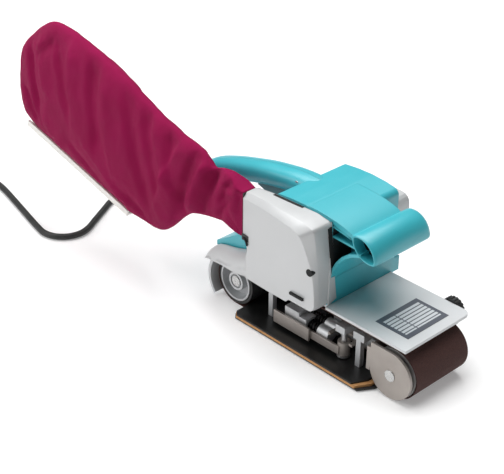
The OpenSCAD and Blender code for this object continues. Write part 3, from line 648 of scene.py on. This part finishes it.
grit = Finish("coated_abrasive", roughness=0.9)
grain = grit.spots(2600.0)
grit.set("Base Color", grit.blend(grit.noise(900.0, 4.0), (0.035, 0.011, 0.010), (0.115, 0.045, 0.036)))
grit.relief(grain + grit.noise(1700.0, 3.0), 0.0005)
spring_wire = Finish("oiled_wire", roughness=0.35, metallic=0.8)
spring_wire.set("Base Color", spring_wire.blend(spring_wire.noise(200.0), grey(0.05), grey(0.10)))
spring_wire.relief(spring_wire.noise(900.0), 0.00003)
turned = Finish("turned_roller", roughness=0.4, metallic=0.6)
turned.set("Base Color", turned.blend(turned.noise(25.0, 4.0), (0.46, 0.45, 0.44), (0.58, 0.57, 0.56)))
turned.relief(turned.noise(300.0, 2.0, stretch=(0.1, 8.0, 0.1)), 0.00004, edge=0.0006)

# Nameplate: a thin grey anodised plate with a blank ruled panel, held by its own adhesive.
printed = Finish("blank_ruled_plate", roughness=0.4, metallic=0.3)
PLATE_CORNER = (0.1863, -0.0285)
PLATE_SIZE = (0.041, 0.060)
across = (printed.axis("X") - PLATE_CORNER[0]) / PLATE_SIZE[0]
along = (printed.axis("Y") - PLATE_CORNER[1]) / PLATE_SIZE[1]
row = (across * 9.0).fraction()
inside = across.above(0.12) * (1.0 - across.above(0.86)) * along.above(0.07) * (1.0 - along.above(0.93))
rows = row.above(0.3) * inside
column = 1.0 - along.above(0.34) * (1.0 - along.above(0.36))
printed.set("Base Color", printed.blend(rows * column, (0.10, 0.11, 0.135), (0.66, 0.68, 0.70)))
printed.relief(rows * column, 0.00002, edge=0.0003)

FINISH_OF_SLOT = {
    "cast_aluminium": cast, "cast_silver": silver, "black_steel": black_oxide, "cork": cork,
    "black_rubber": rubber, "screw_steel": zinc, "plate_grey": printed, "teal_plastic": teal,
    "black_plastic": black_plastic, "grey_plastic": grey_teal, "lamination": laminated, "copper": lacquer,
    "bearing_steel": ground, "brass_part": brass, "carbon": carbon, "shaft_steel": ground,
    "white_plastic": white_plastic, "tyre_rubber": belt_rubber, "gear_iron": iron, "abrasive_cloth": grit,
    "beige_steel": steel, "spring_steel": spring_wire, "roller_aluminium": turned,
    "ivory_plastic": ivory, "cord_rubber": rubber,
}
for subpart in frame["record"]["subparts"]:
    part = frame["nodes"][subpart["node"]]
    finish = FINISH_OF_SLOT.get(subpart["material_slot"])
    if finish:
        part.data.materials.clear()
        part.data.materials.append(finish.material)
frame["nodes"]["front_cover"].data.materials[0] = rolled.material

# Dust bag: two panels of closely woven dark red cloth sewn face to face, gathered at the neck and
# filled with air; its open lower edge is clamped in the bright rail. Its folds are shaped in the mesh.
cloth = Finish("bag_cloth", roughness=0.85, Specular_IOR_Level=0.15, Sheen_Weight=0.03, Sheen_Roughness=0.3)
warp = (cloth.axis("X") * 7000.0).sine()
weft = (cloth.axis("Z") * 7000.0).sine()
folds = cloth.noise(26.0, 4.0)
cloth.set("Base Color", cloth.blend(folds, (0.31, 0.005, 0.066), (0.42, 0.008, 0.10)))
cloth.relief(warp * weft + cloth.noise(60.0, 4.0) * 8.0, 0.0003)
# Sections of the cloth: x, lower edge, upper edge, half width, and y of its middle.
BAG_SECTIONS = [
    (33, 104, 153.6, 9.2, -50.6), (27, 103.6, 155.2, 9.8, -50.4), (18, 103.5, 159.5, 10.8, -50.2),
    (6, 104, 163.4, 11, -50), (-6, 103.2, 163.2, 9.6, -50.6), (-16, 102, 160.5, 8.6, -51),
    (-23, 101, 165.5, 11.5, -51), (-32, 99, 171.5, 13, -51), (-50, 94, 176.5, 14, -51),
    (-66, 82, 179, 15, -51), (-84, 64, 183.5, 16.5, -51), (-98, 53.5, 188, 17.5, -50.5),
    (-112, 50, 193.5, 18.5, -50), (-135, 51.5, 203, 20.5, -50), (-158, 52.5, 213, 22, -50),
    (-200, 61.2, 226, 23, -50), (-240, 71.4, 236.5, 23, -50), (-280, 81.6, 240.5, 21, -50),
    (-304, 87.8, 230, 18.5, -50), (-322, 92.4, 216.5, 15.5, -50), (-338, 97, 203, 12.5, -50),
    (-350, 106, 187, 8, -50), (-355, 120, 170, 4, -50),
]
# Folds, each from one point of the cloth to another in x and z: width, depth, and 1 for the open side
# or -1 for the far side.
FOLDS = [
    ((-10, 163), (-36, 104), 7, -5.0, 1), ((-22, 170), (-52, 98), 6, 3.6, 1),
    ((12, 158), (-4, 128), 6, -3.6, 1), ((4, 150), (30, 118), 8, 2.6, 1),
    ((16, 142), (-8, 112), 5, -2.8, 1), ((26, 150), (30, 128), 3.5, -2.0, 1),
    ((-40, 168), (-74, 84), 8, -4.0, 1), ((-58, 176), (-96, 90), 9, 3.0, 1),
    ((-80, 182), (-62, 96), 8, -2.6, 1), ((-104, 190), (-76, 120), 9, 2.4, 1),
    ((-120, 196), (-92, 96), 9, -2.6, 1), ((-150, 205), (-112, 84), 10, -3.2, 1),
    ((-182, 214), (-160, 96), 12, 2.6, 1), ((-205, 226), (-190, 120), 11, -3.4, 1),
    ((-238, 236), (-226, 130), 10, 2.4, 1), ((-265, 232), (-240, 150), 9, -2.6, 1),
    ((-296, 222), (-280, 160), 9, 2.4, 1), ((-322, 204), (-306, 128), 8, -4.2, 1),
    ((-340, 150), (-318, 110), 8, -3.0, 1), ((-300, 132), (-262, 90), 9, 2.2, 1),
    ((-250, 112), (-200, 74), 9, -2.4, 1), ((-214, 130), (-150, 66), 10, 2.4, 1),
    ((-170, 92), (-120, 62), 8, -2.6, 1), ((-270, 226), (-300, 200), 6, -2.0, 1),
    ((-30, 168), (-60, 98), 8, -3.6, -1), ((-90, 184), (-80, 92), 10, 3.0, -1),
    ((-140, 200), (-120, 90), 11, -3.4, -1), ((-190, 218), (-170, 100), 12, 3.0, -1),
    ((-240, 232), (-222, 120), 12, -3.2, -1), ((-300, 214), (-290, 130), 10, 2.6, -1),
    ((8, 156), (-14, 112), 7, -3.0, -1),
]


RING_POINTS = 96
NECK_X = 33
RAIL_X = -155
RING_SPACING = 2.5


def bag_ring(x, low, high, half, middle):
    """The cloth's section at x: boxy at the mouth, lens-shaped further back, folded on both sides."""
    mouth = share_of(x, -6, 34)
    ring = []
    for k in range(RING_POINTS):
        a = k * 2 * math.pi / RING_POINTS
        c, s = math.cos(a), math.sin(a)
        share = math.copysign(abs(c) ** (0.92 - 0.8 * mouth), c)
        rise = math.copysign(abs(s) ** (0.92 - 0.8 * mouth), s)
        z = (low + high) / 2 + (high - low) / 2 * rise
        if s < 0 and x < RAIL_X:
            share *= 1 - 0.6 * abs(rise) ** 6
        side = 1 if c < 0 else -1
        push = 0.0
        for (x0, z0), (x1, z1), width, depth, which in FOLDS:
            length = math.hypot(x1 - x0, z1 - z0)
            along = ((x - x0) * (x1 - x0) + (z - z0) * (z1 - z0)) / length / length
            off = ((x - x0) * (z1 - z0) - (z - z0) * (x1 - x0)) / length
            if which == side and -0.3 < along < 1.3:
                fade = min(1.0, (along + 0.3) / 0.45, (1.3 - along) / 0.45)
                steepness = 2.2 if off > 0 else 0.8
                push += 1.7 * depth * fade * fade * math.exp(-(off / width * steepness) ** 2)
        push += 1.4 * noise.noise((x / 17, z / 26, side * 4.0))
        push += 0.7 * noise.noise((x / 7, z / 11, side * 9.0))
        push *= min(1.0, abs(c) * 1.6) * min(1.0, max(0.0, NECK_X - x) / 8)
        if mouth > 0:
            push += 0.45 * mouth * math.sin(k * 2.1) * min(1.0, max(0.0, NECK_X - x) / 5)
        ring.append(Vector((x, middle + half * share - side * push, z)))
    return ring


bag_mesh = bmesh.new()
bag_rings = []
padded_sections = [BAG_SECTIONS[0], *BAG_SECTIONS, BAG_SECTIONS[-1]]
for before, start, end, after in zip(padded_sections, BAG_SECTIONS, BAG_SECTIONS[1:], padded_sections[3:]):
    steps = max(1, round((start[0] - end[0]) / RING_SPACING))
    for i in range(steps):
        measures = zip(before, start, end, after)
        bag_rings.append(bag_ring(*[between(*values, i / steps) for values in measures]))
bag_rings.append(bag_ring(*BAG_SECTIONS[-1]))
bridged(bag_mesh, bag_rings)
bag = on_body(solid("cloth_bag", bag_mesh, sharp_degrees=80), "bag", cloth)
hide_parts("dust_bag")
